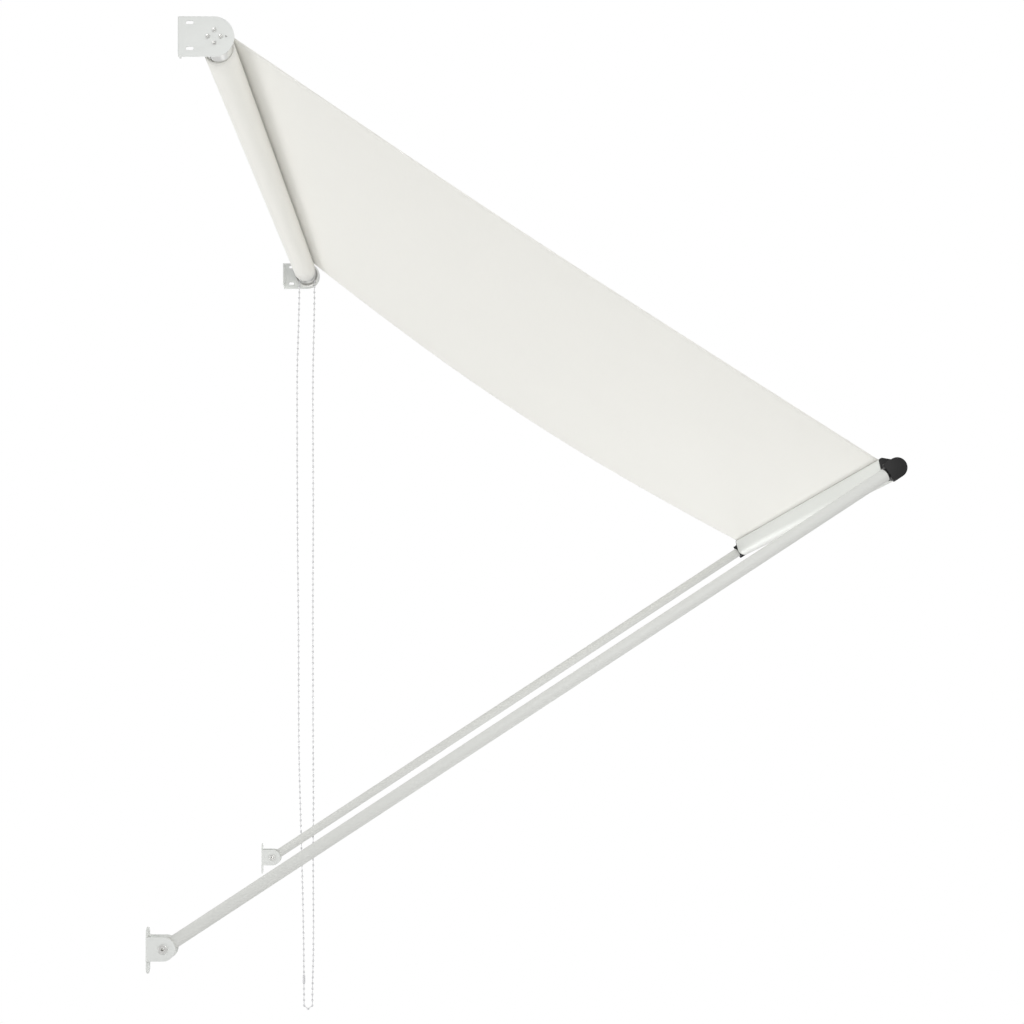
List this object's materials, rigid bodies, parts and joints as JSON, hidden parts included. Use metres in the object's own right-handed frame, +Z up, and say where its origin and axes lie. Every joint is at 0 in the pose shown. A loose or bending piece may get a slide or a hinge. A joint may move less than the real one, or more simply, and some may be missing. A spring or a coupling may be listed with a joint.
{
  "type": "canvas awning",
  "caption": "Wall-mounted drop-arm awning: cream canvas on a roller with a bead-chain drive, two swinging arms and a white front rail with black end caps.",
  "frame": {"origin": "back face of the upper left bracket's wall flange, level with the roller's axis", "axes": "+X along the roller from the idle end to the chain end, +Y into the wall, +Z up; the cloth runs out towards -Y"},
  "size_m": [1.0023, 1.0397, 1.6004],
  "materials": {
    "white_paint": "white powder coat, satin",
    "canvas": "cream woven canvas, matt",
    "black_plastic": "black moulded nylon, fine grain",
    "grey_plastic": "light grey moulded plastic",
    "pearl_plastic": "off-white moulded plastic",
    "cord_plastic": "extruded rod in the hem",
    "zinc": "zinc-plated steel",
    "roller_metal": "mill-finish extrusion"
  },
  "bodies": {
    "base": {"upper_left_bracket": "white_paint", "upper_right_bracket": "white_paint", "lower_left_bracket": "white_paint", "lower_right_bracket": "white_paint", "idle_pin": "zinc", "clutch_housing": "pearl_plastic", "spindle_washer": "zinc", "spindle_screw": "zinc", "left_pivot_rivet": "zinc", "right_pivot_rivet": "zinc", "bead_chain": "pearl_plastic", "chain_connector": "pearl_plastic"},
    "roller": {"roller_tube": "roller_metal", "roller_keder": "cord_plastic", "cloth_roll": "canvas", "idle_plug": "grey_plastic", "chain_wheel": "pearl_plastic", "drive_plug": "grey_plastic", "clutch_spring_1": "zinc", "clutch_spring_2": "zinc"},
    "left_arm": {"left_arm_tube": "white_paint", "left_arm_foot": "grey_plastic", "left_knuckle": "black_plastic"},
    "right_arm": {"right_arm_tube": "white_paint", "right_arm_foot": "grey_plastic", "right_knuckle": "black_plastic"},
    "front_bar": {"front_rail": "white_paint", "hem_keder": "cord_plastic", "left_rail_cap": "black_plastic", "right_rail_cap": "black_plastic"},
    "canopy": {"canopy_cloth": "canvas"}
  },
  "joints": [
    {"name": "arm_swing", "type": "hinge", "parent": "base", "child": "left_arm", "pos_m": [-0.001, 0.0199, -1.244], "axis": [-1, 0, 0], "range_deg": [0, 50], "deforming": ["canopy_cloth"]},
    {"name": "right_arm_swing", "type": "hinge", "parent": "base", "child": "right_arm", "pos_m": [0.9675, 0.0199, -1.244], "axis": [-1, 0, 0], "range_deg": [0, 50]},
    {"name": "rail_tilt", "type": "hinge", "parent": "left_arm", "child": "front_bar", "pos_m": [0.4815, -0.98121, -0.58689], "axis": [-1, 0, 0], "range_deg": [-50, 0]},
    {"name": "roller_spin", "type": "hinge", "parent": "base", "child": "roller", "pos_m": [0.4815, -0.05, 0], "axis": [-1, 0, 0], "range_deg": [0, 2500]},
    {"name": "canopy_swing", "type": "hinge", "parent": "base", "child": "canopy", "pos_m": [0.4815, -0.05, 0], "axis": [-1, 0, 0], "range_deg": [0, 25]}
  ],
  "couplings": [
    {"joint": "right_arm_swing", "follows": "arm_swing", "ratio": 1},
    {"joint": "rail_tilt", "follows": "arm_swing", "ratio": -1},
    {"joint": "roller_spin", "follows": "arm_swing", "ratio": 47.5},
    {"joint": "canopy_swing", "follows": "arm_swing", "ratio": 0.5}
  ]
}
